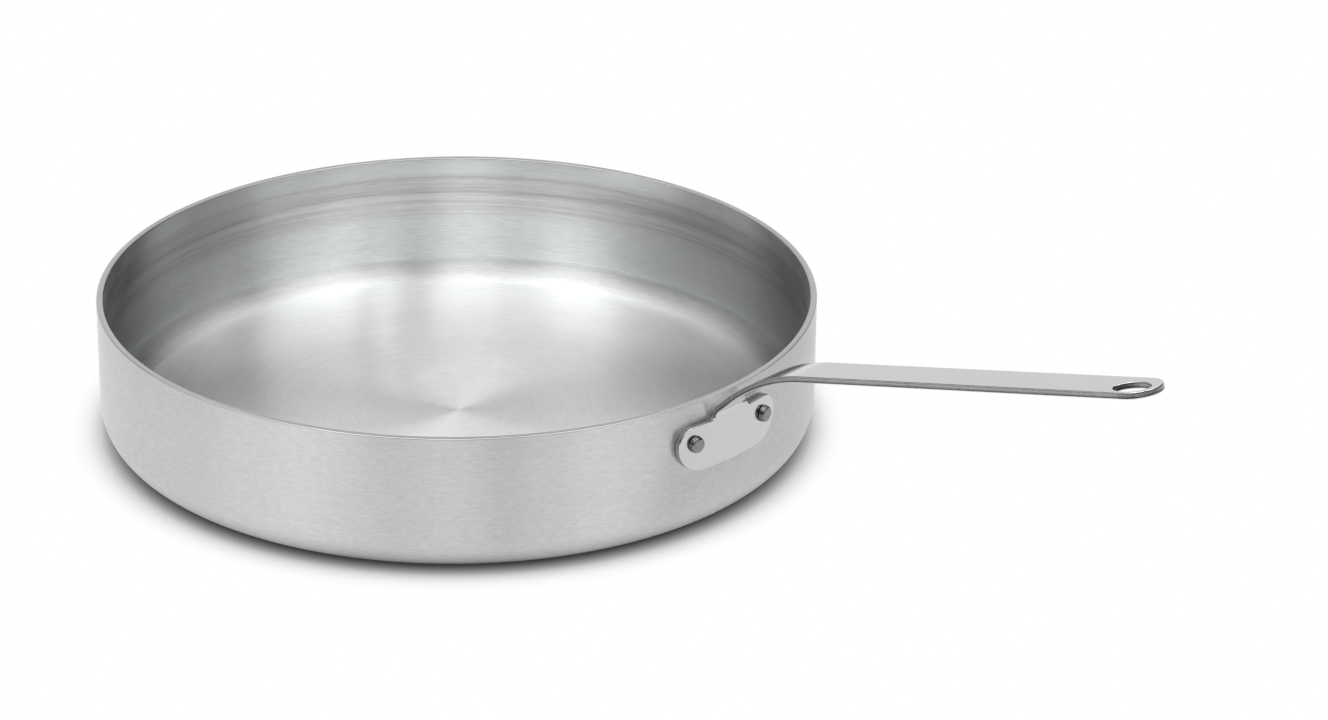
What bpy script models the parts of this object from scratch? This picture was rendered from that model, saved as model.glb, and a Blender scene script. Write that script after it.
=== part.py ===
"""Straight-sided saute pan: a drawn round body and a one-piece pressed handle held by two rivets.

Units are metres. The pan's axis is +Z, its base lies on z = 0, and the handle points along +X.
"""

from math import acos, cos, degrees, pi, radians, sin

import bmesh
import bpy
from mathutils import Matrix

# Pan body
RIM_RADIUS = 0.156          # outside of the wall
BODY_HEIGHT = 0.0617        # base to rim
WALL = 0.0028
FLOOR = 0.0032
BASE_CORNER = 0.0151        # outside radius between wall and base
FLOOR_CORNER = 0.0100       # inside radius between wall and floor
RIM_EDGE = 0.0005           # rounding of the two edges of the rim

# Handle, pressed from one flat steel blank
SHEET = 0.0028
HANDLE_WIDTH = 0.0196
BRACKET_LENGTH = 0.0598     # along the wall, around the pan
BRACKET_HEIGHT = 0.0211
BRACKET_BELOW_RIM = 0.0092
BRACKET_UPPER_CORNER = 0.0083
BRACKET_SWEEP = 0.0145      # width of the long lower corner, which runs up to the upper one
ROOT_FILLET = 0.0023        # relief radius where the stem leaves the bracket
BEND_ABOVE_BRACKET = 0.0005
TIGHT_BEND = 0.0045         # radius under the first bend
STEM_ANGLE = radians(44.0)
STEM_RUN = 0.0075
EASY_BEND = 0.086           # radius under the long second bend
BLADE_RISE = radians(15.0)
BLADE_RUN = 0.1751          # straight part, to the tip
SHEET_EDGE = 0.0004         # rounding of the cut edges

# Hanging hole: a teardrop that narrows towards the pan
HOLE_RADIUS = 0.0058
HOLE_FROM_TIP = 0.0120      # centre of the round end to the end of the handle
HOLE_TAPER = 0.0123         # centre of the round end to the centre of the narrow end
HOLE_NARROW_RADIUS = 0.0023

# Rivets
RIVET_FROM_BRACKET_END = 0.0087
RIVET_BELOW_BRACKET_TOP = 0.0079
SHANK_RADIUS = 0.0024
HEAD_RADIUS = 0.0036        # short head outside
HEAD_FACE_RADIUS = 0.0034
HEAD_HEIGHT = 0.0021
HEAD_EDGE = 0.0004
INNER_HEAD_RADIUS = 0.0055  # low domed head inside the pan
INNER_HEAD_HEIGHT = 0.0018

# Clearances
SEAT_GAP = 0.0003           # between faces that touch
SHANK_CLEARANCE = 0.0003    # around the shank, on the radius

# Drawing density
BODY_STEPS = 128            # flats round the pan
RIVET_STEPS = 32
ARC_FLAT = 7.5              # degrees turned by each flat of an arc
SMALL_FLAT = 30.0           # the same, on arcs of a few millimetres or less
COLUMN_PITCH = 0.0025       # flats round the curve of the bracket
TIGHT_BEND_ROWS = 8
EASY_BEND_ROWS = 12
CREASE = radians(30.0)      # edges sharper than this stay sharp
ONE_PLANE = radians(0.5)    # neighbouring faces flatter than this are one face
SAME_POINT = 1e-6           # points nearer than this are one point
SHORT_EDGE = 0.00002        # shorter edges are closed up
CUT_MARGIN = 0.004          # how far a cutter runs past what it cuts

# Worked out from the sizes above
BRACKET_TOP = BODY_HEIGHT - BRACKET_BELOW_RIM
BRACKET_BACK = RIM_RADIUS + SEAT_GAP
BRACKET_FACE = BRACKET_BACK + SHEET
RIVET_SPACING = BRACKET_LENGTH - 2 * RIVET_FROM_BRACKET_END
RIVET_HEIGHT = BRACKET_TOP - RIVET_BELOW_BRACKET_TOP
RIVET_TURN = RIVET_SPACING / 2 / BRACKET_FACE
HOLE_FOR_SHANK = SHANK_RADIUS + SHANK_CLEARANCE

UPRIGHT = pi / 2
FLAT_PART = BRACKET_HEIGHT + BEND_ABOVE_BRACKET
# Stretches of the handle from the bracket's lower edge to its tip: length, slope at the start and at the end
STRETCHES = [
    (FLAT_PART, UPRIGHT, UPRIGHT),
    (TIGHT_BEND * (UPRIGHT - STEM_ANGLE), UPRIGHT, STEM_ANGLE),
    (STEM_RUN, STEM_ANGLE, STEM_ANGLE),
    (EASY_BEND * (STEM_ANGLE - BLADE_RISE), STEM_ANGLE, BLADE_RISE),
    (BLADE_RUN, BLADE_RISE, BLADE_RISE),
]
BLANK_LENGTH = sum(length for length, _, _ in STRETCHES)
CROWN_END = FLAT_PART + STRETCHES[1][0] + STEM_RUN


def clear_scene():
    for old in list(bpy.data.objects):
        bpy.data.objects.remove(old, do_unlink=True)


def new_collection(name):
    collection = bpy.data.collections.new(name)
    bpy.context.scene.collection.children.link(collection)
    return collection


def make_material(name, colour, roughness):
    """A bare metal with its colour and roughness."""
    material = bpy.data.materials.new(name)
    material.use_nodes = True
    shader = material.node_tree.nodes["Principled BSDF"]
    shader.inputs["Base Color"].default_value = (*colour, 1.0)
    shader.inputs["Metallic"].default_value = 1.0
    shader.inputs["Roughness"].default_value = roughness
    return material


def arc(centre_x, centre_y, radius, start, end, flat=ARC_FLAT):
    """Points of an arc, both ends included, angles in degrees."""
    steps = max(2, round(abs(end - start) / flat))
    turn = (end - start) / steps
    angles = [radians(start + turn * i) for i in range(steps + 1)]
    return [(centre_x + radius * cos(a), centre_y + radius * sin(a)) for a in angles]


def sagitta(radius, half_chord):
    """How far a round surface falls away over half a chord."""
    return radius - (radius**2 - half_chord**2) ** 0.5


def turned(name, profile, steps, collection, material=None):
    """A solid of revolution about its local Z from (radius, z) points."""
    mesh = bpy.data.meshes.new(name)
    edges = [(i, i + 1) for i in range(len(profile) - 1)]
    mesh.from_pydata([(r, 0.0, z) for r, z in profile], edges, [])
    solid = bpy.data.objects.new(name, mesh)
    collection.objects.link(solid)
    if material:
        mesh.materials.append(material)
    screw = solid.modifiers.new("turn", "SCREW")
    screw.steps = steps
    screw.render_steps = steps
    screw.use_merge_vertices = True
    screw.merge_threshold = SAME_POINT
    screw.use_smooth_shade = True
    return solid


def cut(solid, cutter):
    boolean = solid.modifiers.new(f"cut {cutter.name}", "BOOLEAN")
    boolean.operation = "DIFFERENCE"
    boolean.solver = "EXACT"
    boolean.object = cutter


def make_body(collection, material):
    """The round pan, turned from its section: inside floor, wall, rim, outside wall, base."""
    inside = RIM_RADIUS - WALL
    profile = [(0.0, FLOOR)]
    profile += arc(inside - FLOOR_CORNER, FLOOR + FLOOR_CORNER, FLOOR_CORNER, -90, 0)
    profile += arc(inside + RIM_EDGE, BODY_HEIGHT - RIM_EDGE, RIM_EDGE, 180, 90, SMALL_FLAT)
    profile += arc(RIM_RADIUS - RIM_EDGE, BODY_HEIGHT - RIM_EDGE, RIM_EDGE, 90, 0, SMALL_FLAT)
    profile += arc(RIM_RADIUS - BASE_CORNER, BASE_CORNER, BASE_CORNER, 0, -90)
    profile += [(0.0, 0.0)]
    return turned("pan_body", profile, BODY_STEPS, collection, material)


def half_outline():
    """One half of the flat blank, from the middle of its lower edge to its tip."""
    end = BRACKET_LENGTH / 2
    half = HANDLE_WIDTH / 2
    high = BRACKET_UPPER_CORNER
    widest = BRACKET_HEIGHT - high
    lower_corner = arc(0.0, 0.0, 1.0, -90, 0)[:-1]
    outline = [(end - BRACKET_SWEEP * (1 - x), widest * (1 + y)) for x, y in lower_corner]
    outline += arc(end - high, widest, high, 0, 90)
    outline += arc(half + ROOT_FILLET, BRACKET_HEIGHT + ROOT_FILLET, ROOT_FILLET, 270, 180, SMALL_FLAT)
    outline += arc(0.0, BLANK_LENGTH - half, half, 0, 90)
    return outline


def hanging_hole():
    """The teardrop, its round end towards the tip."""
    lean = degrees(acos((HOLE_RADIUS - HOLE_NARROW_RADIUS) / HOLE_TAPER))
    centre = BLANK_LENGTH - HOLE_FROM_TIP
    outline = arc(0.0, centre, HOLE_RADIUS, lean - 90, 270 - lean)
    outline += arc(0.0, centre - HOLE_TAPER, HOLE_NARROW_RADIUS, 270 - lean, 270 + lean, SMALL_FLAT)
    return outline


def blank_outlines():
    """Closed outlines of the flat blank in (across, along): the edge, then the three holes."""
    half = half_outline()
    edge = half + [(-across, along) for across, along in reversed(half[:-1])]
    rivet_along = BRACKET_HEIGHT - RIVET_BELOW_BRACKET_TOP
    rivet_holes = [
        arc(side * RIVET_SPACING / 2, rivet_along, HOLE_FOR_SHANK, 0, 360, 360 / RIVET_STEPS)[:-1]
        for side in (-1, 1)
    ]
    return [edge, hanging_hole(), *rivet_holes]


def flat_blank():
    """The blank before it is formed, as a mesh: a filled drawing with thickness and rounded edges."""
    curve = bpy.data.curves.new("blank", "CURVE")
    curve.dimensions = "2D"
    curve.fill_mode = "BOTH"
    curve.bevel_depth = SHEET_EDGE
    curve.bevel_resolution = 1
    curve.offset = -SHEET_EDGE
    curve.extrude = SHEET / 2 - SHEET_EDGE
    for outline in blank_outlines():
        spline = curve.splines.new("POLY")
        spline.points.add(len(outline) - 1)
        for point, (across, along) in zip(spline.points, outline):
            point.co = (across, along, 0.0, 1.0)
        spline.use_cyclic_u = True
    drawing = bpy.data.objects.new("blank", curve)
    bpy.context.scene.collection.objects.link(drawing)
    graph = bpy.context.evaluated_depsgraph_get()
    mesh = bpy.data.meshes.new_from_object(drawing.evaluated_get(graph))
    bpy.data.objects.remove(drawing, do_unlink=True)
    bpy.data.curves.remove(curve)
    return mesh


def along_handle(distance):
    """Reach, height and slope of the handle's outer face, at a distance along the blank."""
    reach = BRACKET_FACE
    height = BRACKET_TOP - BRACKET_HEIGHT
    for length, start, end in STRETCHES:
        part = min(distance, length)
        if start == end:
            slope = start
            reach += part * cos(slope)
            height += part * sin(slope)
        else:
            radius = length / (start - end)
            slope = start - part / radius
            reach += radius * (sin(start) - sin(slope))
            height += radius * (cos(slope) - cos(start))
        distance -= part
        if distance <= 0:
            break
    return reach, height, slope


def formed(across, along, depth):
    """Where a point of the blank lies once wrapped round the wall and bent; depth is from the outer face."""
    reach, height, slope = along_handle(along)
    wrap = min(1.0, max(0.0, (CROWN_END - along) / (CROWN_END - FLAT_PART)))
    angle = across / BRACKET_FACE
    side = across + wrap * ((BRACKET_FACE - depth) * sin(angle) - across)
    inwards = depth + wrap * (BRACKET_FACE - depth) * (1 - cos(angle))
    return reach - inwards * sin(slope), side, height + inwards * cos(slope)


def bend_rows():
    """Distances along the blank that need a row of points: the ends of stretches, and steps in bends."""
    rows = []
    start = 0.0
    for (length, _, _), steps in zip(STRETCHES[:-1], (1, TIGHT_BEND_ROWS, 1, EASY_BEND_ROWS)):
        rows += [start + length * (i + 1) / steps for i in range(steps)]
        start += length
    return rows


def split(sheet, place, direction, below):
    """Cut the faces of the flat blank along a line, up to a distance from its lower edge, and mark the cut."""
    faces = [face for face in sheet.faces if min(point.co.y for point in face.verts) < below]
    edges = list({edge for face in faces for edge in face.edges})
    points = list({point for face in faces for point in face.verts})
    parts = points + edges + faces
    done = bmesh.ops.bisect_plane(sheet, geom=parts, plane_co=place, plane_no=direction, dist=SAME_POINT)
    for edge in done["geom_cut"]:
        if isinstance(edge, bmesh.types.BMEdge):
            edge.seam = True


def make_handle(collection, material):
    """The blank, wrapped on the pan's wall at the bracket and bent out into the blade."""
    mesh = flat_blank()
    sheet = bmesh.new()
    sheet.from_mesh(mesh)
    bmesh.ops.remove_doubles(sheet, verts=sheet.verts, dist=SAME_POINT)
    for along in bend_rows():
        split(sheet, (0, along, 0), (0, 1, 0), BLANK_LENGTH)
    columns = int(BRACKET_LENGTH / 2 / COLUMN_PITCH)
    for column in range(-columns, columns + 1):
        split(sheet, (COLUMN_PITCH * column, 0, 0), (1, 0, 0), CROWN_END)
    keep = {"SEAM"}
    bmesh.ops.dissolve_limit(sheet, angle_limit=ONE_PLANE, verts=sheet.verts, edges=sheet.edges, delimit=keep)
    bmesh.ops.dissolve_degenerate(sheet, dist=SHORT_EDGE, edges=sheet.edges)
    bmesh.ops.triangulate(sheet, faces=sheet.faces)
    for point in sheet.verts:
        point.co = formed(point.co.x, point.co.y, SHEET / 2 - point.co.z)
    bmesh.ops.recalc_face_normals(sheet, faces=sheet.faces)
    if sheet.calc_volume(signed=True) < 0.0:
        bmesh.ops.reverse_faces(sheet, faces=sheet.faces)
    sheet.to_mesh(mesh)
    sheet.free()
    mesh.shade_smooth()
    mesh.set_sharp_from_angle(angle=CREASE)
    mesh.materials.clear()
    mesh.materials.append(material)
    handle = bpy.data.objects.new("handle", mesh)
    collection.objects.link(handle)
    return handle


def make_rivet(name, turn, collection, material):
    """A rivet turned about the pan's radius: its local Z is the distance from the pan's axis."""
    wall_inside = RIM_RADIUS - WALL
    inner_seat = wall_inside - sagitta(wall_inside, INNER_HEAD_RADIUS) - SEAT_GAP
    outer_seat = BRACKET_FACE + SEAT_GAP
    outer_face = outer_seat + HEAD_HEIGHT
    quarter = arc(0.0, 0.0, 1.0, 0, 90, SMALL_FLAT / 2)[1:]
    dome = [(INNER_HEAD_RADIUS * x, inner_seat - INNER_HEAD_HEIGHT * y) for x, y in quarter]
    profile = [(0.0, outer_face)]
    profile += arc(HEAD_FACE_RADIUS - HEAD_EDGE, outer_face - HEAD_EDGE, HEAD_EDGE, 90, 0, SMALL_FLAT)
    profile += [(HEAD_RADIUS, outer_seat), (SHANK_RADIUS, outer_seat)]
    profile += [(SHANK_RADIUS, inner_seat), (INNER_HEAD_RADIUS, inner_seat)]
    profile += dome
    rivet = turned(name, profile, RIVET_STEPS, collection, material)
    rivet.location = (0.0, 0.0, RIVET_HEIGHT)
    rivet.rotation_euler = (0.0, pi / 2, turn)
    return rivet


def make_rivet_cutter(name, turn, collection):
    """A drill for the rivet's hole in the wall."""
    start = RIM_RADIUS - WALL - CUT_MARGIN
    end = RIM_RADIUS + CUT_MARGIN
    depth = end - start
    bpy.ops.mesh.primitive_cylinder_add(vertices=RIVET_STEPS, radius=HOLE_FOR_SHANK, depth=depth)
    drill = bpy.context.object
    drill.name = name
    drill.data.transform(Matrix.Translation((0.0, 0.0, (start + end) / 2)))
    drill.location = (0.0, 0.0, RIVET_HEIGHT)
    drill.rotation_euler = (0.0, pi / 2, turn)
    for holder in list(drill.users_collection):
        holder.objects.unlink(drill)
    collection.objects.link(drill)
    drill.display_type = "WIRE"
    drill.hide_render = True
    return drill


def main():
    clear_scene()
    parts = new_collection("saute_pan")
    cutters = new_collection("cutters")
    aluminium = make_material("brushed_aluminium", (0.72, 0.72, 0.71), 0.38)
    plated_steel = make_material("plated_steel", (0.74, 0.75, 0.77), 0.24)
    rivet_metal = make_material("rivet_aluminium", (0.42, 0.41, 0.41), 0.42)

    body = make_body(parts, aluminium)
    make_handle(parts, plated_steel)
    for side, turn in (("left", -RIVET_TURN), ("right", RIVET_TURN)):
        drill = make_rivet_cutter(f"rivet_hole_{side}", turn, cutters)
        cut(body, drill)
        make_rivet(f"rivet_{side}", turn, parts, rivet_metal)


main()
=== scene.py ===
# %% [markdown]
# # A straight-sided saute pan
#
# The pan is a round body of brushed aluminium with a strip handle of bright plated steel, held by
# two rivets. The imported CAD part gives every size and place. This lesson builds smoother copies
# of its pieces on top of it, gives them metal finishes, and sets them in a plain light studio.
# Bare metal has almost no colour of its own: nearly all that one sees on it is the room. So the
# shapes have to be exact, the brushing has to bend the reflections the right way, and the lights
# are placed with care.

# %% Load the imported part
from math import cos, hypot, pi, radians, sin

import bmesh
import bpy
from mathutils import Euler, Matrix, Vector


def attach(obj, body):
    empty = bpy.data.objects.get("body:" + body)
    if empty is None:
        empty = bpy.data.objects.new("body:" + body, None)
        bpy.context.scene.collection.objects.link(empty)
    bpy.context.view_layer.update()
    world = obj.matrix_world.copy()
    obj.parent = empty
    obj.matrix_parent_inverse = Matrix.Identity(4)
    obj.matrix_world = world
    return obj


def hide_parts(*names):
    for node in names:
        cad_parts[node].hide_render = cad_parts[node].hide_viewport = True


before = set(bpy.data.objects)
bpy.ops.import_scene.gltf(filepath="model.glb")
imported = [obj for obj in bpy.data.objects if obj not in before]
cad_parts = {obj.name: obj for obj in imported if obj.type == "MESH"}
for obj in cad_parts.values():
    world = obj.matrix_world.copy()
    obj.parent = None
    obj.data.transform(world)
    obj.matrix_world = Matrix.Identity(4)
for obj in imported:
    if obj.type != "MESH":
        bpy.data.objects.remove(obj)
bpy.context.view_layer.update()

# %% [markdown]
# ## Camera
#
# The rim of the pan is a circle, and its picture is an ellipse. The shape of that ellipse,
# together with the height of the wall and the width of the base, says where the camera stood: far
# away, with a long lens, looking down at about 24 degrees. Blender can take such a view with an
# ordinary camera and no lens shift.

# %% Place the camera
camera_data = bpy.data.cameras.new("photo camera")
camera_data.sensor_width = 36.0
camera_data.lens = 121.99
camera = bpy.data.objects.new("photo camera", camera_data)
camera.location = (1.26624, -1.27957, 0.82939)
camera.rotation_euler = Euler((radians(65.986), radians(-0.670), radians(42.134)))
camera_data.clip_start = 0.05
camera_data.clip_end = 60.0
bpy.context.scene.collection.objects.link(camera)
bpy.context.scene.camera = camera
print("camera is", round(camera.location.length, 3), "m from the pan, lens", camera_data.lens, "mm")

# %% [markdown]
# ## Sizes
#
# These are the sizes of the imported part, in metres. The pan's axis is Z, its base lies on z = 0
# and the handle points along X. They are written once here, and every piece below is made from
# them, so that the shown pieces lie exactly where the solids lie. Three things differ, and each
# keeps within the solids' box. The blade is a twentieth of a millimetre shorter, because its tip
# arc is finer. The hanging hole is the photograph's oval, nearer to the tip and a little to one
# side. The edge of the rivet heads is rounder.

# %% Sizes of the pan body
RIM_RADIUS = 0.156
BODY_HEIGHT = 0.0617
WALL = 0.0028
FLOOR = 0.0032
BASE_CORNER = 0.0151
FLOOR_CORNER = 0.0100
RIM_EDGE = 0.0005
INSIDE_RADIUS = RIM_RADIUS - WALL
print("inside diameter", round(INSIDE_RADIUS * 2000, 1), "mm")

# %% Sizes of the handle and its flat blank
SHEET = 0.0028
HANDLE_WIDTH = 0.0196
BRACKET_LENGTH = 0.0598
BRACKET_HEIGHT = 0.0211
BRACKET_UPPER_CORNER = 0.0083
BRACKET_SWEEP = 0.0145
BRACKET_BELOW_RIM = 0.0092
BRACKET_TOP = BODY_HEIGHT - BRACKET_BELOW_RIM
ROOT_FILLET = 0.0023
SHEET_EDGE = 0.0004
SEAT_GAP = 0.0003
BRACKET_FACE = RIM_RADIUS + SEAT_GAP + SHEET
BEND_ABOVE_BRACKET = 0.0005
FLAT_PART = BRACKET_HEIGHT + BEND_ABOVE_BRACKET
UPRIGHT, STEM, BLADE = pi / 2, radians(44.0), radians(15.0)
SHARP_BEND, GENTLE_BEND = 0.0045, 0.086
STEM_LENGTH, BLADE_LENGTH = 0.0075, 0.17505
STRETCHES = [  # length, slope at its start, slope at its end
    (FLAT_PART, UPRIGHT, UPRIGHT),
    (SHARP_BEND * (UPRIGHT - STEM), UPRIGHT, STEM),
    (STEM_LENGTH, STEM, STEM),
    (GENTLE_BEND * (STEM - BLADE), STEM, BLADE),
    (BLADE_LENGTH, BLADE, BLADE),
]
BLANK_LENGTH = sum(length for length, _, _ in STRETCHES)
CROWN_END = FLAT_PART + STRETCHES[1][0] + STRETCHES[2][0]
print("the flat blank is", round(BLANK_LENGTH * 1000, 1), "mm long")

# %% Sizes of the hanging hole and the rivets
HOLE_LENGTH = 0.0164
HOLE_WIDTH = 0.0121
HOLE_FROM_TIP = 0.0112
HOLE_ASIDE = -0.0019
RIVET_FROM_END, RIVET_BELOW_TOP = 0.0087, 0.0079
RIVET_SPACING = BRACKET_LENGTH - 2 * RIVET_FROM_END
RIVET_HEIGHT = BRACKET_TOP - RIVET_BELOW_TOP
RIVET_TURN = RIVET_SPACING / 2 / BRACKET_FACE
SHANK_RADIUS = 0.0024
SHANK_PLAY = 0.0003
HOLE_FOR_SHANK = SHANK_RADIUS + SHANK_PLAY
HEAD_RADIUS, HEAD_FACE_RADIUS, HEAD_HEIGHT, HEAD_EDGE = 0.0036, 0.0034, 0.0021, 0.0010
INNER_HEAD_RADIUS, INNER_HEAD_HEIGHT = 0.0055, 0.0018
HEAD_TAPER = 0.00005
print("rivets are", round(RIVET_SPACING * 1000, 1), "mm apart, at", round(RIVET_HEIGHT * 1000, 1), "mm")

# %% [markdown]
# ## Round pieces
#
# The body was pressed and then trimmed and brushed while it turned, and the rivets are round too,
# so all of them are sections turned about an axis. A modifier could turn a section, but it can't
# give the inside, the rim and the outside their own finishes. So a small function places the
# rings of points itself and notes each band's finish.

# %% Turn sections into meshes
SAME_PLACE = 1e-7


def arc(centre_x, centre_y, radius, start, end, steps):
    """Points of an arc, both ends included, angles in degrees."""
    angles = [radians(start + (end - start) * i / steps) for i in range(steps + 1)]
    return [(centre_x + radius * cos(a), centre_y + radius * sin(a)) for a in angles]


def turned(name, bands, steps):
    """A closed solid turned about local Z. Its bands are (points, finish), from axis to axis."""
    points, finishes = [], []
    for band, finish in bands:
        last = points[-1] if points else (-1.0, -1.0)
        fresh = [p for p in band if hypot(p[0] - last[0], p[1] - last[1]) > SAME_PLACE]
        finishes += [finish] * (len(fresh) if points else len(fresh) - 1)
        points += fresh
    build = bmesh.new()
    rings = []
    for radius, height in points:
        if radius < SAME_PLACE:
            rings.append([build.verts.new((0.0, 0.0, height))] * steps)
            continue
        turn = [2 * pi * i / steps for i in range(steps)]
        rings.append([build.verts.new((radius * cos(a), radius * sin(a), height)) for a in turn])
    for upper, lower, finish in zip(rings, rings[1:], finishes):
        for i in range(steps):
            corners = [upper[i], lower[i], lower[(i + 1) % steps], upper[(i + 1) % steps]]
            face = build.faces.new(list(dict.fromkeys(corners)))
            face.material_index = finish
            face.smooth = True
    bmesh.ops.recalc_face_normals(build, faces=build.faces)
    if build.calc_volume(signed=True) < 0.0:
        bmesh.ops.reverse_faces(build, faces=build.faces)
    mesh = bpy.data.meshes.new(name)
    build.to_mesh(mesh)
    build.free()
    piece = bpy.data.objects.new(name, mesh)
    bpy.context.scene.collection.objects.link(piece)
    print(name, len(mesh.vertices), "points,", len(mesh.polygons), "faces")
    return piece


# %% [markdown]
# ## The pan body
#
# The section runs from the middle of the floor, round the inside corner, up the wall, over the
# flat-cut rim and down the outside to the base. The floor and the walls get a few extra rings,
# which cost little and keep the shading true over the long flat bands. The floor, the inside
# wall, the rim and the outside are four finishes of one metal.

# %% Build the pan body
FLAT, INSIDE, RIM, OUTSIDE = 0, 1, 2, 3
PAN_STEPS, RIVET_STEPS = 288, 64
FLAT_RINGS = 6  # from the middle of the floor or the base to its corner
WALL_RINGS = (0.03, 0.045)  # heights on the wall
floor_edge = INSIDE_RADIUS - FLOOR_CORNER
base_edge = RIM_RADIUS - BASE_CORNER
inner_lip = arc(INSIDE_RADIUS + RIM_EDGE, BODY_HEIGHT - RIM_EDGE, RIM_EDGE, 180, 90, 5)
outer_lip = arc(RIM_RADIUS - RIM_EDGE, BODY_HEIGHT - RIM_EDGE, RIM_EDGE, 90, 0, 5)
flat = [(floor_edge * i / FLAT_RINGS, FLOOR) for i in range(FLAT_RINGS + 1)]
inside = arc(floor_edge, FLOOR + FLOOR_CORNER, FLOOR_CORNER, -90, 0, 16)
inside += [(INSIDE_RADIUS, height) for height in WALL_RINGS] + [inner_lip[0]]
outside = [outer_lip[-1]] + [(RIM_RADIUS, height) for height in reversed(WALL_RINGS)]
outside += arc(base_edge, BASE_CORNER, BASE_CORNER, 0, -90, 18)
outside += [(base_edge * i / FLAT_RINGS, 0.0) for i in range(FLAT_RINGS - 1, -1, -1)]
bands = [(flat, FLAT), (inside, INSIDE), (inner_lip + outer_lip, RIM), (outside, OUTSIDE)]
pan = turned("pan", bands, PAN_STEPS)
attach(pan, "root")
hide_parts("pan_body")

# %% [markdown]
# ## The handle
#
# The handle is one strip of steel. A press cuts a flat blank with a bracket at one end, two rivet
# holes and an oval hole for hanging. Then the bracket is curved to fit the wall, and the strip is
# bent twice: sharply just above the bracket, and gently into the long blade. The same two steps
# make it here. A filled curve with a bevel gives the blank its thickness and its slightly rounded
# sheared edges, also inside the holes. Then a formula that knows the bend line carries each point
# of the blank to its place.

# %% Outline of the blank
def half_outline():
    """One half of the blank, from the middle of its lower edge to its tip, as (across, along)."""
    end, half, high = BRACKET_LENGTH / 2, HANDLE_WIDTH / 2, BRACKET_UPPER_CORNER
    widest = BRACKET_HEIGHT - high
    sweep = arc(0.0, 0.0, 1.0, -90, 0, 24)[:-1]
    outline = [(end - BRACKET_SWEEP * (1 - x), widest * (1 + y)) for x, y in sweep]
    outline += arc(end - high, widest, high, 0, 90, 20)
    outline += arc(half + ROOT_FILLET, BRACKET_HEIGHT + ROOT_FILLET, ROOT_FILLET, 270, 180, 10)
    return outline + arc(0.0, BLANK_LENGTH - half, half, 0, 90, 24)


def hanging_hole():
    """The oval near the tip, which lies a little to the side of the middle line."""
    oval = arc(0.0, 0.0, 1.0, 0, 360, 64)[:-1]
    centre = BLANK_LENGTH - HOLE_FROM_TIP
    return [(HOLE_ASIDE + HOLE_WIDTH / 2 * x, centre + HOLE_LENGTH / 2 * y) for x, y in oval]


half = half_outline()
outlines = [half + [(-across, along) for across, along in reversed(half[:-1])], hanging_hole()]
for side in (-1, 1):
    place = (side * RIVET_SPACING / 2, BRACKET_TOP - RIVET_HEIGHT)
    outlines.append(arc(place[0], BRACKET_HEIGHT - place[1], HOLE_FOR_SHANK, 0, 360, 32)[:-1])
print("outline points", [len(outline) for outline in outlines])


# %% The flat blank
def flat_blank():
    """The blank as a mesh: the filled outlines with the sheet's thickness and rounded edges."""
    curve = bpy.data.curves.new("blank", "CURVE")
    curve.dimensions = "2D"
    curve.fill_mode = "BOTH"
    curve.bevel_depth = SHEET_EDGE
    curve.bevel_resolution = 3
    curve.offset = -SHEET_EDGE
    curve.extrude = SHEET / 2 - SHEET_EDGE
    for outline in outlines:
        spline = curve.splines.new("POLY")
        spline.points.add(len(outline) - 1)
        for point, (across, along) in zip(spline.points, outline):
            point.co = (across, along, 0.0, 1.0)
        spline.use_cyclic_u = True
    drawing = bpy.data.objects.new("blank", curve)
    bpy.context.scene.collection.objects.link(drawing)
    graph = bpy.context.evaluated_depsgraph_get()
    mesh = bpy.data.meshes.new_from_object(drawing.evaluated_get(graph))
    bpy.data.objects.remove(drawing, do_unlink=True)
    return mesh


# %% The bend line
def along_handle(distance):
    """Reach, height and slope of the handle's outer face, at a distance along the blank."""
    reach, height = BRACKET_FACE, BRACKET_TOP - BRACKET_HEIGHT
    for length, start, end in STRETCHES:
        part = min(distance, length)
        if start == end:
            slope = start
            reach += part * cos(slope)
            height += part * sin(slope)
        else:
            radius = length / (start - end)
            slope = start - part / radius
            reach += radius * (sin(start) - sin(slope))
            height += radius * (cos(slope) - cos(start))
        distance -= part
        if distance <= 0:
            break
    return reach, height, slope


def formed(across, along, depth):
    """Where a point of the blank ends up. Its depth is measured from the outer face."""
    reach, height, slope = along_handle(along)
    wrap = min(1.0, max(0.0, (CROWN_END - along) / (CROWN_END - FLAT_PART)))
    angle = across / BRACKET_FACE
    sideways = across + wrap * ((BRACKET_FACE - depth) * sin(angle) - across)
    inwards = depth + wrap * (BRACKET_FACE - depth) * (1 - cos(angle))
    return reach - inwards * sin(slope), sideways, height + inwards * cos(slope)


tip_reach, tip_height, _ = along_handle(BLANK_LENGTH)
print("the tip is", round(tip_reach * 1000, 1), "mm out and", round(tip_height * 1000, 1), "mm up")


# %% Cut the blank where it has to bend
WELD, SLIVER, NEARLY_FLAT = 1e-6, 0.00002, radians(0.5)


def split(sheet, place, direction, below):
    """Cut the blank on a line and mark the cut. Only faces that start below a distance are cut."""
    faces = [face for face in sheet.faces if min(point.co.y for point in face.verts) < below]
    edges = list({edge for face in faces for edge in face.edges})
    points = list({point for face in faces for point in face.verts})
    parts = points + edges + faces
    done = bmesh.ops.bisect_plane(sheet, geom=parts, plane_co=place, plane_no=direction, dist=WELD)
    for edge in done["geom_cut"]:
        if isinstance(edge, bmesh.types.BMEdge):
            edge.seam = True


ROWS = (1, 14, 2, 28, 12)  # one number for each stretch: the tighter the bend, the closer the rows
COLUMN_PITCH = 0.0015


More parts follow.
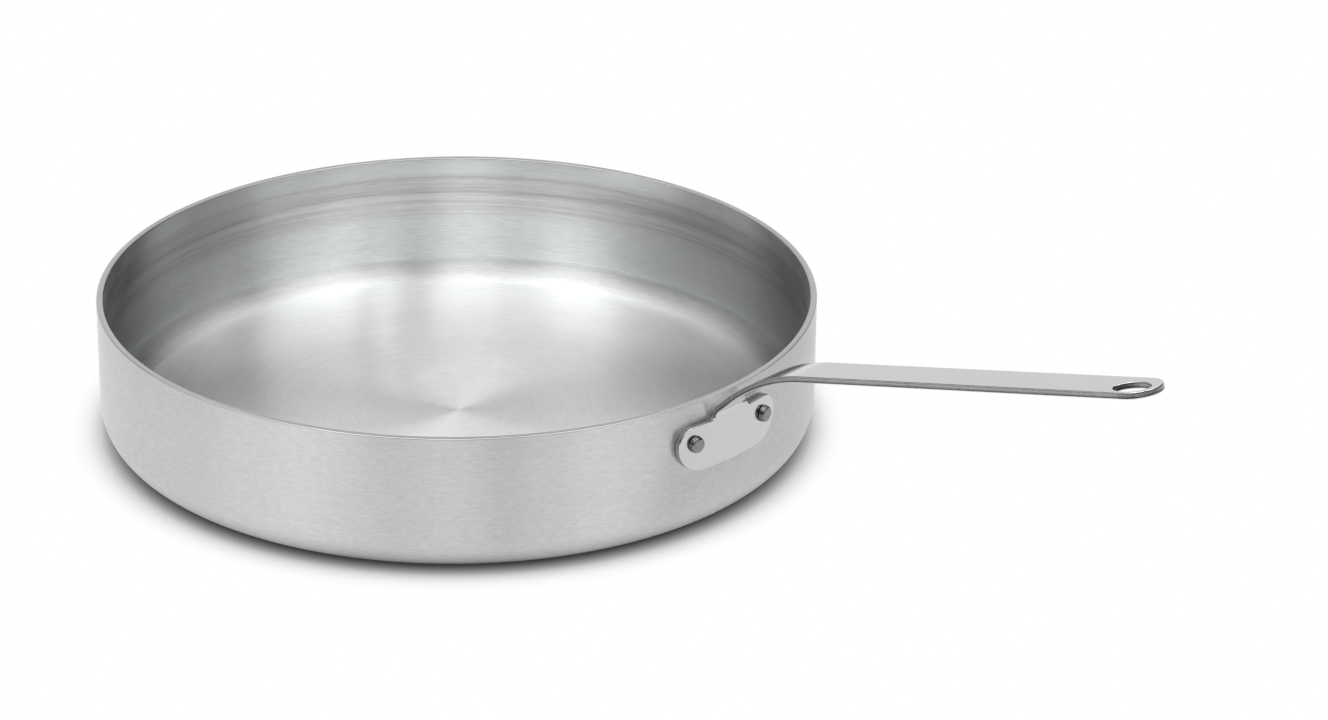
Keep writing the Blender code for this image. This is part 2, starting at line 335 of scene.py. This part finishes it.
def cut_rows_and_columns(sheet):
    """Rows across the whole blank for the bends, and columns over the bracket for its curve."""
    start = 0.0
    for (length, _, _), steps in zip(STRETCHES, ROWS):
        for i in range(1, steps + 1):
            split(sheet, (0, start + length * i / steps, 0), (0, 1, 0), BLANK_LENGTH)
        start += length
    columns = int(BRACKET_LENGTH / 2 / COLUMN_PITCH)
    for column in range(-columns, columns + 1):
        split(sheet, (COLUMN_PITCH * column, 0, 0), (1, 0, 0), CROWN_END)


# %% Form the handle
FACE, SHEARED = 0, 1  # the two finishes of the strip


def make_handle():
    """Cut, bend and finish the blank. It keeps its flat coordinates as an attribute, for the finishes."""
    mesh = flat_blank()
    sheet = bmesh.new()
    sheet.from_mesh(mesh)
    bmesh.ops.remove_doubles(sheet, verts=sheet.verts, dist=WELD)
    cut_rows_and_columns(sheet)
    bmesh.ops.dissolve_limit(
        sheet, angle_limit=NEARLY_FLAT, verts=sheet.verts, edges=sheet.edges, delimit={"SEAM"})
    bmesh.ops.dissolve_degenerate(sheet, dist=SLIVER, edges=sheet.edges)
    blank_place = sheet.verts.layers.float_vector.new("blank_place")
    for point in sheet.verts:
        across, along, depth = point.co.x, point.co.y, SHEET / 2 - point.co.z
        point[blank_place] = (across, along, depth)
        point.co = formed(across, along, depth)
    for edge in sheet.edges:
        edge.seam = False
    bmesh.ops.recalc_face_normals(sheet, faces=sheet.faces)
    if sheet.calc_volume(signed=True) < 0.0:
        bmesh.ops.reverse_faces(sheet, faces=sheet.faces)
    for face in sheet.faces:  # the rounded edges keep the finish of the faces
        depths = [point[blank_place].z for point in face.verts]
        face.material_index = SHEARED if max(depths) - min(depths) > SHEET_EDGE * 1.1 else FACE
        face.smooth = True
    mesh.materials.clear()
    sheet.to_mesh(mesh)
    sheet.free()
    piece = bpy.data.objects.new("strip_handle", mesh)
    bpy.context.scene.collection.objects.link(piece)
    return piece


handle = make_handle()
even = handle.modifiers.new("even shading", "WEIGHTED_NORMAL")
even.mode = "FACE_AREA"
even.weight = 100
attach(handle, "root")
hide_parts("handle")
print("strip_handle", len(handle.data.vertices), "points,", len(handle.data.polygons), "faces")

# %% [markdown]
# ## The rivets
#
# Each rivet is a short solid pin. Outside it shows a low head with a flat face and a rounded edge;
# inside the pan it is closed to a low dome. It is turned like the body, but about a line that
# points out from the pan's axis.

# %% Build the rivets
def make_rivet(name, turn):
    """One rivet, turned about a line out from the pan's axis."""
    inner_seat = (INSIDE_RADIUS**2 - INNER_HEAD_RADIUS**2) ** 0.5 - SEAT_GAP
    outer_seat = BRACKET_FACE + SEAT_GAP
    face = outer_seat + HEAD_HEIGHT
    head = [(0.0, face), (HEAD_FACE_RADIUS * 0.5, face)]
    head += arc(HEAD_FACE_RADIUS - HEAD_EDGE, face - HEAD_EDGE, HEAD_EDGE, 90, 0, 6)
    head += [(HEAD_RADIUS - HEAD_TAPER, outer_seat + 2 * HEAD_TAPER), (HEAD_RADIUS, outer_seat)]
    head += [(SHANK_RADIUS, outer_seat)]
    dome = arc(0.0, 0.0, 1.0, 0, 90, 12)
    tail = [(SHANK_RADIUS, inner_seat), (INNER_HEAD_RADIUS, inner_seat)]
    tail += [(INNER_HEAD_RADIUS * x, inner_seat - INNER_HEAD_HEIGHT * y) for x, y in dome[1:-1]]
    tail += [(0.0, inner_seat - INNER_HEAD_HEIGHT)]
    rivet = turned(name, [(head + tail, 0)], RIVET_STEPS)
    rivet.location = (0.0, 0.0, RIVET_HEIGHT)
    rivet.rotation_euler = (0.0, pi / 2, turn)
    rivet.data.set_sharp_from_angle(angle=radians(40))
    return rivet


rivets = []
for side, turn in (("left", -RIVET_TURN), ("right", RIVET_TURN)):
    rivet = make_rivet(f"{side}_rivet", turn)
    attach(rivet, "root")
    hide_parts(f"rivet_{side}")
    rivets.append(rivet)

# %% [markdown]
# ## Brushing as a node group
#
# A brushed finish is thousands of fine scratches that all run one way. On the body they run round
# the axis, because the pan was turned against an abrasive. One noise texture can draw them if its
# coordinates are squeezed: very fine across the scratches and very slow along them. The group
# takes the place on the metal in three numbers, two along the scratches and one across them, and
# gives fine lines, broader bands and slow cloudy variation.

# %% Helpers for nodes
def new_group(name, inputs, outputs):
    """A shader node group. Inputs are (name, kind, value), outputs (name, kind). Kinds: Float, Vector."""
    group = bpy.data.node_groups.new(name, "ShaderNodeTree")
    for socket, kind, value in inputs:
        made = group.interface.new_socket(socket, in_out="INPUT", socket_type="NodeSocket" + kind)
        if value is not None:
            made.default_value = value
    for socket, kind in outputs:
        group.interface.new_socket(socket, in_out="OUTPUT", socket_type="NodeSocket" + kind)
    return group, group.nodes.new("NodeGroupInput").outputs, group.nodes.new("NodeGroupOutput").inputs


def feed(tree, slot, value):
    """Put a socket's value or a plain number into a slot."""
    if isinstance(value, bpy.types.NodeSocket):
        tree.links.new(value, slot)
    elif value is not None:
        slot.default_value = value


def calculate(tree, operation, first, second=None, clamp=False):
    """A Math node fed by sockets or numbers; gives its output socket."""
    node = tree.nodes.new("ShaderNodeMath")
    node.operation = operation
    node.use_clamp = clamp
    feed(tree, node.inputs[0], first)
    feed(tree, node.inputs[1], second)
    return node.outputs[0]


def remap(tree, value, low, high, start=0.0, end=1.0, smooth=True):
    """Carry a value from the range low-high to start-end."""
    node = tree.nodes.new("ShaderNodeMapRange")
    node.interpolation_type = "SMOOTHSTEP" if smooth else "LINEAR"
    feed(tree, node.inputs["Value"], value)
    for name, number in (("From Min", low), ("From Max", high), ("To Min", start), ("To Max", end)):
        feed(tree, node.inputs[name], number)
    return node.outputs["Result"]


def join(tree, x, y, z):
    """Three sockets or numbers as one vector."""
    node = tree.nodes.new("ShaderNodeCombineXYZ")
    for slot, value in zip(node.inputs, (x, y, z)):
        feed(tree, slot, value)
    return node.outputs[0]


def noise(tree, place, scale, detail, roughness=0.5):
    """A noise from 0 to 1 that keeps mostly near one half."""
    node = tree.nodes.new("ShaderNodeTexNoise")
    tree.links.new(place, node.inputs["Vector"])
    node.inputs["Scale"].default_value = scale
    node.inputs["Detail"].default_value = detail
    node.inputs["Roughness"].default_value = roughness
    return node.outputs["Fac"]


# %% The brushing group
def make_brushing():
    """Noise drawn out along the scratches: fine lines, broader bands and slow clouds."""
    inputs = [("Place", "Vector", None), ("Run", "Float", 20.0), ("Fineness", "Float", 2000.0)]
    outputs = [(name, "Float") for name in ("Lines", "Bands", "Cloud")]
    group, given, result = new_group("brushing", inputs, outputs)
    parts = group.nodes.new("ShaderNodeSeparateXYZ")
    group.links.new(given["Place"], parts.inputs[0])

    def squeezed(run, across):
        scaled = zip(parts.outputs, (run, run, across))
        return join(group, *[calculate(group, "MULTIPLY", part, scale) for part, scale in scaled])

    fine = squeezed(given["Run"], given["Fineness"])
    group.links.new(noise(group, fine, 1.0, 2.0, 0.6), result["Lines"])
    group.links.new(noise(group, squeezed(1.5, 300.0), 1.0, 3.0, 0.7), result["Bands"])
    group.links.new(noise(group, squeezed(4.0, 25.0), 1.0, 2.0), result["Cloud"])
    return group


brushing = make_brushing()
print("brushing group has", len(brushing.nodes), "nodes")

# %% [markdown]
# ## Where a point lies on a turned piece
#
# For the body the three numbers are the direction from the axis, as two numbers on a circle so
# that there is no seam, and the distance walked along the section, which is radius plus height.
# That last number grows all the way from the middle of the floor to the rim. Radius and height
# are also given by themselves, for marks that belong to one level.

# %% The turned place group
NEAR_AXIS = 0.0005


def make_turned_place():
    """Direction round the axis and distance along the section, and radius and height by themselves."""
    outputs = [("Place", "Vector"), ("Radius", "Float"), ("Height", "Float")]
    group, given, result = new_group("turned place", [("Point", "Vector", None)], outputs)
    parts = group.nodes.new("ShaderNodeSeparateXYZ")
    group.links.new(given["Point"], parts.inputs[0])
    x, y, z = parts.outputs
    squares = [calculate(group, "MULTIPLY", part, part) for part in (x, y)]
    square = calculate(group, "ADD", *squares)
    radius = calculate(group, "MAXIMUM", calculate(group, "SQRT", square), NEAR_AXIS)
    around = [calculate(group, "DIVIDE", part, radius) for part in (x, y)]
    group.links.new(join(group, *around, calculate(group, "ADD", radius, z)), result["Place"])
    group.links.new(radius, result["Radius"])
    group.links.new(z, result["Height"])
    return group


turned_place = make_turned_place()
print("turned place group has", len(turned_place.nodes), "nodes")

# %% [markdown]
# ## Marks of spinning inside the wall
#
# A roller pressed the wall against its form while the pan turned. It left a belt of darker rings
# in the upper half of the wall. A ramp over the height places the rings. Three noises break them
# up: one is the same all the way round and splits them into finer rings, and two change round the
# wall, so that the rings fade and come back. A second ramp gives the even tone of each level:
# bright where the floor ends and again at the wall's foot, duller up the wall, and clearer just
# under the rim. In the inside corner this tone is painted light: painted shade low in the corner's
# arc, where its reflection gathers, and a painted highlight at the wall's foot, where it is weak.

# %% The spin marks group
def ramp(tree, value, low, high, stops, ease=True):
    """A ramp of grey over a range; stops are (place in the range's own unit, value)."""
    node = tree.nodes.new("ShaderNodeValToRGB")
    node.color_ramp.interpolation = "EASE" if ease else "LINEAR"
    elements = node.color_ramp.elements
    while len(elements) < len(stops):
        elements.new(0.5)
    for element, (place, grey) in zip(elements, stops):
        element.position = (place - low) / (high - low)
        element.color = (grey, grey, grey, 1.0)
    tree.links.new(remap(tree, value, low, high, smooth=False), node.inputs["Fac"])
    return node.outputs["Color"]


def make_spin_marks():
    """The even tone of each height of the wall, and the belt of broken rings."""
    inputs = [("Place", "Vector", None), ("Height", "Float", 0.0)]
    group, given, result = new_group("spin marks", inputs, [("Tone", "Float"), ("Marks", "Float")])
    rings = [(0.030, 0.0), (0.0352, 0.35), (0.0370, 0.7), (0.0386, 0.3), (0.0403, 0.75), (0.0420, 0.25)]
    rings += [(0.0442, 0.6), (0.0452, 0.8), (0.0461, 0.6), (0.0468, 0.85), (0.0482, 0.65), (0.0498, 0.5)]
    rings += [(0.0512, 0.5), (0.0523, 0.8), (0.0534, 0.3), (0.0555, 0.0)]
    belt = ramp(group, given["Height"], 0.028, BODY_HEIGHT, rings)
    parts = group.nodes.new("ShaderNodeSeparateXYZ")
    group.links.new(given["Place"], parts.inputs[0])
    x, y, along = parts.outputs

    def grain(squeeze, low, high, run=0.0):
        """Noise squeezed into rings, carried from 0.35-0.65 to low-high. With no run the rings are whole."""
        sides = (x, y) if run else (0.0, 0.0)
        place = join(group, *sides, calculate(group, "MULTIPLY", along, squeeze))
        return remap(group, noise(group, place, run or 1.0, 3.0, 0.6), 0.35, 0.65, low, high)

    marks = belt
    finer_rings = grain(1300.0, 0.5, 1.5)
    fading = grain(200.0, 0.6, 1.35, 1.6)
    broken = grain(500.0, 0.75, 1.25, 6.0)
    for part in (finer_rings, fading, broken):
        marks = calculate(group, "MULTIPLY", marks, part)
    # the tone by height; in the inside corner it is painted shade low in the arc and a painted highlight at
    # its top
    levels = [(0.0032, 0.84), (0.0044, 0.62), (0.0058, 0.48), (0.0085, 0.62), (0.0102, 0.76)]
    levels += [(0.0118, 0.90), (0.0128, 0.78), (0.0137, 0.58), (0.020, 0.50), (0.030, 0.51)]
    levels += [(0.037, 0.60), (0.050, 0.61), (0.057, 0.68)]
    group.links.new(ramp(group, given["Height"], 0.0, BODY_HEIGHT, levels), result["Tone"])
    group.links.new(marks, result["Marks"])
    return group


spin_marks = make_spin_marks()
print("spin marks group has", len(spin_marks.nodes), "nodes")

# %% [markdown]
# ## Metal materials
#
# Every finish here is the same recipe with other numbers. The scratches change the colour and the
# roughness a little and lift the surface a few thousandths of a millimetre. Their direction is
# what the eye really sees: light that falls on a brushed metal is spread across the scratches,
# not along them. The shader's anisotropy does that. Its tangent runs round the axis, and a
# quarter turn of rotation lays the spread across the lines.

# %% Material recipe
def tinted(tree, dark, light, factor):
    """A colour between two colours, by a mask."""
    node = tree.nodes.new("ShaderNodeMix")
    node.data_type = "RGBA"
    feed(tree, node.inputs["A"], (*dark, 1.0) if isinstance(dark, tuple) else dark)
    feed(tree, node.inputs["B"], (*light, 1.0) if isinstance(light, tuple) else light)
    feed(tree, node.inputs["Factor"], factor)
    return node.outputs["Result"]


def use_group(tree, group, **values):
    """A group node with its inputs fed by sockets or numbers; gives its outputs."""
    node = tree.nodes.new("ShaderNodeGroup")
    node.node_tree = group
    for name, value in values.items():
        feed(tree, node.inputs[name], value)
    return node.outputs


def blended(tree, start, *parts):
    """A start value plus weighted departures of masks from one half."""
    total = start
    for mask, weight in parts:
        shift = calculate(tree, "SUBTRACT", mask, 0.5)
        total = calculate(tree, "ADD", total, calculate(tree, "MULTIPLY", shift, weight))
    return calculate(tree, "ADD", total, 0.0, clamp=True)


def metal(name):
    """A new metal material; gives the material, its node tree and its shader's inputs."""
    material = bpy.data.materials.new(name)
    material.use_nodes = True
    shader = material.node_tree.nodes["Principled BSDF"].inputs
    shader["Metallic"].default_value = 1.0
    return material, material.node_tree, shader


def bump(tree, shader, height, distance):
    """Lift the surface by a mask; distance is the lift in metres."""
    node = tree.nodes.new("ShaderNodeBump")
    node.inputs["Distance"].default_value = distance
    tree.links.new(height, node.inputs["Height"])
    tree.links.new(node.outputs["Normal"], shader["Normal"])


QUARTER_TURN = 0.25


def brushed_round(name, anisotropy, run, fineness, lift):
    """Metal brushed round the Z axis; gives the material, tree, shader, place and brushing outputs."""
    material, tree, shader = metal(name)
    shader["Anisotropic"].default_value = anisotropy
    shader["Anisotropic Rotation"].default_value = QUARTER_TURN
    tangent = tree.nodes.new("ShaderNodeTangent")
    tangent.direction_type = "RADIAL"
    tangent.axis = "Z"
    tree.links.new(tangent.outputs["Tangent"], shader["Tangent"])
    point = tree.nodes.new("ShaderNodeTexCoord").outputs["Object"]
    place = use_group(tree, turned_place, Point=point)
    brush = use_group(tree, brushing, Place=place["Place"], Run=run, Fineness=fineness)
    bump(tree, shader, brush["Lines"], lift)
    return material, tree, shader, place, brush


# %% Floor and inside wall
def pan_floor_finish():
    """The floor, a little duller at the very middle and towards the corner."""
    made = brushed_round("floor_aluminium", anisotropy=0.85, run=9.0, fineness=1700.0, lift=0.000006)
    material, tree, shader, place, brush = made
    dark, light = (0.690, 0.706, 0.701), (0.984, 1.0, 0.995)
    levels = [(0.0, 0.72), (0.05, 0.84), (0.115, 0.82), (0.138, 0.72)]
    tone = ramp(tree, place["Radius"], 0.0, 0.16, levels)
    factor = blended(tree, tone, (brush["Lines"], 0.75), (brush["Bands"], 0.35), (brush["Cloud"], 0.2))
    tree.links.new(tinted(tree, dark, light, factor), shader["Base Color"])
    tree.links.new(blended(tree, 0.41, (brush["Bands"], 0.05)), shader["Roughness"])
    return material


def inside_finish():
    """The inside corner and wall. The corner is rougher, and the spin marks darken the wall a little."""
    made = brushed_round("inside_aluminium", anisotropy=1.0, run=24.0, fineness=1500.0, lift=0.000009)
    material, tree, shader, place, brush = made
    dark, light, marked = (0.540, 0.556, 0.551), (0.980, 0.996, 0.991), (0.42, 0.385, 0.38)
    spun = use_group(tree, spin_marks, Place=place["Place"], Height=place["Height"])
    grain = ((brush["Lines"], 0.7), (brush["Bands"], 0.25), (brush["Cloud"], 0.12))
    factor = blended(tree, spun["Tone"], *grain)
    clean = tinted(tree, dark, light, factor)
    shade = calculate(tree, "MULTIPLY", spun["Marks"], 0.6)
    tree.links.new(tinted(tree, clean, marked, shade), shader["Base Color"])
    rough = remap(tree, place["Height"], 0.006, 0.015, 0.42, 0.25)
    rough = blended(tree, rough, (brush["Bands"], 0.05), (brush["Cloud"], 0.03))
    tree.links.new(rough, shader["Roughness"])
    return material


# %% Flat-cut rim and outside
def rim_finish():
    """The rim, trimmed flat and left duller than the walls."""
    made = brushed_round("rim_aluminium", anisotropy=0.6, run=5.0, fineness=6000.0, lift=0.000002)
    material, tree, shader, place, brush = made
    dark, light = (0.41, 0.415, 0.41), (0.70, 0.705, 0.70)
    factor = blended(tree, 0.5, (brush["Lines"], 0.8), (brush["Cloud"], 0.4))
    tree.links.new(tinted(tree, dark, light, factor), shader["Base Color"])
    tree.links.new(blended(tree, 0.34, (brush["Lines"], 0.1)), shader["Roughness"])
    return material


def outside_finish():
    """The outside wall and base, with short grain, and darker near the floor that it stands on."""
    made = brushed_round("outside_aluminium", anisotropy=1.0, run=45.0, fineness=1400.0, lift=0.000008)
    material, tree, shader, place, brush = made
    dark, light = (0.650, 0.648, 0.646), (1.0, 0.998, 0.996)
    # the outside is darker over its lowest 12 mm, towards the base
    darker_towards_base = remap(tree, place["Height"], 0.0, 0.012, 0.38, 0.46)
    factor = blended(tree, darker_towards_base, (brush["Lines"], 0.8), (brush["Bands"], 0.2), (brush["Cloud"], 0.3))
    tree.links.new(tinted(tree, dark, light, factor), shader["Base Color"])
    rough = blended(tree, 0.4, (brush["Bands"], 0.06), (brush["Cloud"], 0.06))
    tree.links.new(rough, shader["Roughness"])
    return material


for material in (pan_floor_finish(), inside_finish(), rim_finish(), outside_finish()):
    pan.data.materials.append(material)
print("pan finishes", [m.name for m in pan.data.materials])

# %% [markdown]
# ## Plated steel and rivets
#
# The handle's faces are smooth and bright, with faint streaks along the strip from rolling. The
# sheared edges are grainy and darker. In the photograph they show one bright band between two dark
# ones, so a ramp through the sheet's thickness sets the tone. Three more masks raise or lower it:
# at the bracket, inside the hanging hole and at the tip. In the hole the edge gets a painted dark
# reflection at its near end and painted light on its far wall, and near the tip the edges get a
# painted dark reflection. All of it is laid out in the blank's own flat coordinates, so it follows
# the bends. The rivets are dull and speckled, with painted shade from the rounded edge of each head
# outwards.

# %% Places along the strip
HOLE_MIDDLE = BLANK_LENGTH - HOLE_FROM_TIP
ROOT_ENDS = FLAT_PART + 0.008
PAST_THE_BENDS = 0.1
HOLE_WALL, STRIP_SIDE = 0.0082, 0.0088
HOLE_END, HOLE_FAR_PART = HOLE_MIDDLE - 0.006, HOLE_MIDDLE + 0.002
TIP_STARTS, TIP_ENDS = BLANK_LENGTH - 0.016, BLANK_LENGTH - 0.007
print("the hanging hole's middle is", round(HOLE_MIDDLE * 1000, 1), "mm along the blank")


# %% Handle finishes
def plated(name, dark, light, levels, root, hole, tip, rough, speckle_size, speckle_weight, lift):
    """A finish of the strip. Levels are its tone by depth; root is added, hole and tip are taken away."""
    material, tree, shader = metal(name)
    place = tree.nodes.new("ShaderNodeAttribute")
    place.attribute_name = "blank_place"
    parts = tree.nodes.new("ShaderNodeSeparateXYZ")
    tree.links.new(place.outputs["Vector"], parts.inputs[0])
    across, along, depth = parts.outputs
    brush = use_group(tree, brushing, Place=join(tree, along, depth, across), Run=40.0, Fineness=2600.0)
    speckle = noise(tree, place.outputs["Vector"], speckle_size, 3.0, 0.65)
    level = ramp(tree, depth, 0.0, SHEET, levels)
    level = calculate(tree, "ADD", level, remap(tree, along, FLAT_PART, ROOT_ENDS, root, 0.0))
    # painted light in the hanging hole's wall: a painted dark reflection at its near end, painted light on
    # its far part
    painted_hole_light = remap(tree, calculate(tree, "ABSOLUTE", across), HOLE_WALL, STRIP_SIDE, hole, 0.0)
    painted_hole_light = calculate(tree, "MULTIPLY", painted_hole_light, remap(tree, along, CROWN_END, PAST_THE_BENDS))
    shade_near_light_far = remap(tree, along, HOLE_END, HOLE_FAR_PART, 1.0, -0.5)
    level = calculate(tree, "SUBTRACT", level, calculate(tree, "MULTIPLY", painted_hole_light, shade_near_light_far))
    # painted dark reflection on the sheared edges near the tip
    level = calculate(tree, "SUBTRACT", level, remap(tree, along, TIP_STARTS, TIP_ENDS, 0.0, tip))
    grain = ((brush["Lines"], 0.35), (brush["Cloud"], 0.3), (speckle, speckle_weight))
    factor = blended(tree, level, *grain)
    tree.links.new(tinted(tree, dark, light, factor), shader["Base Color"])
    tree.links.new(blended(tree, rough, (brush["Lines"], 0.08), (speckle, 0.12)), shader["Roughness"])
    bump(tree, shader, speckle, lift)
    return material


even_levels = [(0.0, 0.5), (SHEET, 0.5)]
torn_levels = [(0.0, 0.0), (0.0006, 0.1), (0.0011, 0.5), (0.0017, 0.8), (0.0020, 0.75), (0.0023, 0.15)]
torn_levels += [(SHEET, 0.1)]
dark_face, light_face = (0.565, 0.572, 0.579), (0.73, 0.737, 0.744)
dark_edge, light_edge = (0.06, 0.06, 0.062), (0.46, 0.46, 0.465)
face_finish = plated("plated_steel", dark_face, light_face, even_levels, root=-0.5, hole=0.0, tip=0.0,
                     rough=0.15, speckle_size=900.0, speckle_weight=0.1, lift=0.000001)
edge_finish = plated("sheared_edge", dark_edge, light_edge, torn_levels, root=0.35, hole=0.6, tip=0.35,
                     rough=0.32, speckle_size=1700.0, speckle_weight=1.1, lift=0.00002)
for finish in (face_finish, edge_finish):
    handle.data.materials.append(finish)
print("handle finishes", [m.name for m in handle.data.materials])


# %% Rivet finish
def rivet_finish():
    """Dull speckled aluminium, with painted shade from the head's rounded edge outwards."""
    material, tree, shader = metal("rivet_aluminium")
    point = tree.nodes.new("ShaderNodeTexCoord").outputs["Object"]
    place = use_group(tree, turned_place, Point=point)
    speckle = noise(tree, point, 1100.0, 4.0, 0.7)
    # painted shade, darker from the head's rounded edge outwards
    painted_edge_shade = remap(tree, place["Radius"], 0.0028, 0.0035, 0.5, 0.3)
    factor = blended(tree, painted_edge_shade, (speckle, 1.3))
    dark, light = (0.08, 0.078, 0.078), (0.42, 0.413, 0.41)
    tree.links.new(tinted(tree, dark, light, factor), shader["Base Color"])
    tree.links.new(blended(tree, 0.36, (speckle, 0.3)), shader["Roughness"])
    bump(tree, shader, speckle, 0.00002)
    return material


rivet_metal = rivet_finish()
for rivet in rivets:
    rivet.data.materials.append(rivet_metal)
print("rivet finish", rivet_metal.name)

# %% [markdown]
# ## The studio floor
#
# The pan stands on a white sweep that runs on as the background. Diffuse light meets it as plain
# white paint. What the camera and the metal see of it is pure white with a narrow soft shadow
# where the pan touches it. The shadow is drawn by the ambient occlusion node, which measures how
# much of the sky near by is blocked.

# %% Floor
SWEEP_RADIUS = 12.0
SHADOW_REACH = 0.03
SHADOW = [(0.1, 0.04), (0.17, 0.08), (0.24, 0.14), (0.33, 0.23), (0.44, 0.39), (0.53, 0.58)]
SHADOW += [(0.6, 0.8), (0.67, 0.915), (0.78, 1.0)]
floor_mesh = bpy.data.meshes.new("floor")
floor_build = bmesh.new()
bmesh.ops.create_circle(floor_build, cap_ends=True, segments=96, radius=SWEEP_RADIUS)
floor_build.to_mesh(floor_mesh)
floor_build.free()
floor = bpy.data.objects.new("floor", floor_mesh)
bpy.context.scene.collection.objects.link(floor)


def floor_finish():
    """White paint for the light that falls on it; for all that look at it, white with a drawn shadow."""
    material = bpy.data.materials.new("floor_paint")
    material.use_nodes = True
    tree = material.node_tree
    shader = tree.nodes["Principled BSDF"]
    shader.inputs["Base Color"].default_value = (0.9, 0.9, 0.9, 1.0)
    shader.inputs["Roughness"].default_value = 1.0
    shader.inputs["Specular IOR Level"].default_value = 0.0
    shade = tree.nodes.new("ShaderNodeAmbientOcclusion")
    shade.samples = 16
    shade.inputs["Distance"].default_value = SHADOW_REACH
    white = tree.nodes.new("ShaderNodeEmission")
    tree.links.new(ramp(tree, shade.outputs["AO"], 0.0, 1.0, SHADOW, ease=False), white.inputs["Color"])
    path = tree.nodes.new("ShaderNodeLightPath").outputs
    seen = calculate(tree, "MAXIMUM", path["Is Camera Ray"], path["Is Glossy Ray"])
    seen = calculate(tree, "MAXIMUM", seen, path["Is Transmission Ray"])
    pick = tree.nodes.new("ShaderNodeMixShader")
    tree.links.new(seen, pick.inputs[0])
    tree.links.new(shader.outputs[0], pick.inputs[1])
    tree.links.new(white.outputs[0], pick.inputs[2])
    tree.links.new(pick.outputs[0], tree.nodes["Material Output"].inputs["Surface"])
    return material


floor_mesh.materials.append(floor_finish())
print("floor is", SWEEP_RADIUS * 2, "m across")

# %% [markdown]
# ## The studio light
#
# A soft light covers the top of the sky, and wide panels below it reach down at the front, the
# left and the right. A white backdrop shines from behind, low down. Four narrower lights stand in
# front, one of them only a slit, two more stand behind the pan's sides, and three low ones at the
# left light the outside wall. Between them the room is dark, and those gaps give the metal its
# dark sides. Three flags, which are strips of black cloth, hang before the lights and draw the
# upright streaks on the back wall. Each light or flag is a patch of sky with soft edges. The
# group takes the level direction of its middle, and as angles its half width, its lower and upper
# edge, and how far these edges blur.

# %% The panel group
def make_panel():
    """The shape of one panel: 1 inside, 0 outside, soft between."""
    inputs = [("Direction", "Vector", None), ("Centre", "Vector", None)]
    inputs += [(name, "Float", 0.0) for name in ("Half Width", "Side Blur", "Low", "High", "Edge Blur")]
    group, given, result = new_group("light panel", inputs, [("Light", "Float")])
    parts = group.nodes.new("ShaderNodeSeparateXYZ")
    group.links.new(given["Direction"], parts.inputs[0])
    level = group.nodes.new("ShaderNodeVectorMath")
    level.operation = "NORMALIZE"
    group.links.new(join(group, parts.outputs[0], parts.outputs[1], 0.0), level.inputs[0])
    toward = group.nodes.new("ShaderNodeVectorMath")
    toward.operation = "DOT_PRODUCT"
    group.links.new(level.outputs[0], toward.inputs[0])
    group.links.new(given["Centre"], toward.inputs[1])
    aside = calculate(group, "ARCCOSINE", toward.outputs["Value"])
    raised = calculate(group, "ARCSINE", parts.outputs[2])

    def edge(value, at, blur, before, after):
        low = calculate(group, "SUBTRACT", at, blur)
        high = calculate(group, "ADD", at, blur)
        return remap(group, value, low, high, before, after)

    light = edge(aside, given["Half Width"], given["Side Blur"], 1.0, 0.0)
    light = calculate(group, "MULTIPLY", light, edge(raised, given["Low"], given["Edge Blur"], 0.0, 1.0))
    light = calculate(group, "MULTIPLY", light, edge(raised, given["High"], given["Edge Blur"], 1.0, 0.0))
    group.links.new(light, result["Light"])
    return group


# %% Hang the lights
CAMERA_SIDE = -45.3  # the camera's own direction round the pan
# name, degrees to the right of the camera, half width, side blur, low, high, edge blur, brightness
PANELS = [
    ("top", 0, 190, 5, 68, 99, 4, 2.5),
    ("top front", 0, 75, 10, 51, 68, 4, 2.73),
    ("top left", -112, 37, 10, 51, 68, 4, 2.68),
    ("top right", 112, 37, 10, 51, 68, 4, 1.95),
    ("backdrop", 180, 30, 6, -9, 35, 5, 0.83),
    ("front left", -46, 12, 5, 30, 51, 4, 1.6),
    ("front middle", -3, 12, 3, 30, 51, 4, 0.8),
    ("front slit", 27, 2.5, 1, 30, 51, 4, 2.4),
    ("front right", 54, 20, 2, 30, 51, 4, 1.66),
    ("side left", -132, 34, 8, 35, 51, 4, 1.2),
    ("side right", 128, 38, 8, 35, 51, 4, 1.25),
    ("low left", -84, 40, 10, -9, 9, 3, 0.9),
    ("low front left", -62, 16, 6, -9, 9, 3, 1.16),
    ("low far left", -137, 15, 6, -9, 9, 3, 0.8),
]
# the same angles, and the share of the light that each strip of cloth holds back
FLAGS = [
    ("wide flag", 18.8, 5.5, 1, 30, 99, 5, 1.0),
    ("narrow flag", 34, 4.5, 1, 30, 99, 5, 1.0),
    ("thin flag", -22, 8, 5, 51, 80, 5, 0.3),
]
world = bpy.data.worlds.new("studio")
world.use_nodes = True
bpy.context.scene.world = world
sky = world.node_tree
panel = make_panel()
direction = sky.nodes.new("ShaderNodeTexCoord").outputs["Generated"]


def panel_in_the_sky(right, *angles):
    """The light of one panel, or the shape of one flag."""
    turn = radians(CAMERA_SIDE + right)
    names = ("Half Width", "Side Blur", "Low", "High", "Edge Blur")
    limits = {name: radians(angle) for name, angle in zip(names, angles)}
    centre = (cos(turn), sin(turn), 0.0)
    return use_group(sky, panel, Direction=direction, Centre=centre, **limits)["Light"]


total = 0.0
for name, *angles, brightness in PANELS:
    lit = calculate(sky, "MULTIPLY", panel_in_the_sky(*angles), brightness)
    total = calculate(sky, "ADD", total, lit)
    print(name, "at", angles[0], "degrees, brightness", brightness)
for name, *angles, share in FLAGS:
    held_back = calculate(sky, "MULTIPLY", panel_in_the_sky(*angles), share)
    let_through = calculate(sky, "SUBTRACT", 1.0, held_back)
    total = calculate(sky, "MULTIPLY", total, let_through)
    print(name, "at", angles[0], "degrees, holds back", share)
sky.links.new(total, sky.nodes["Background"].inputs["Color"])
bpy.context.scene.view_settings.view_transform = "Standard"
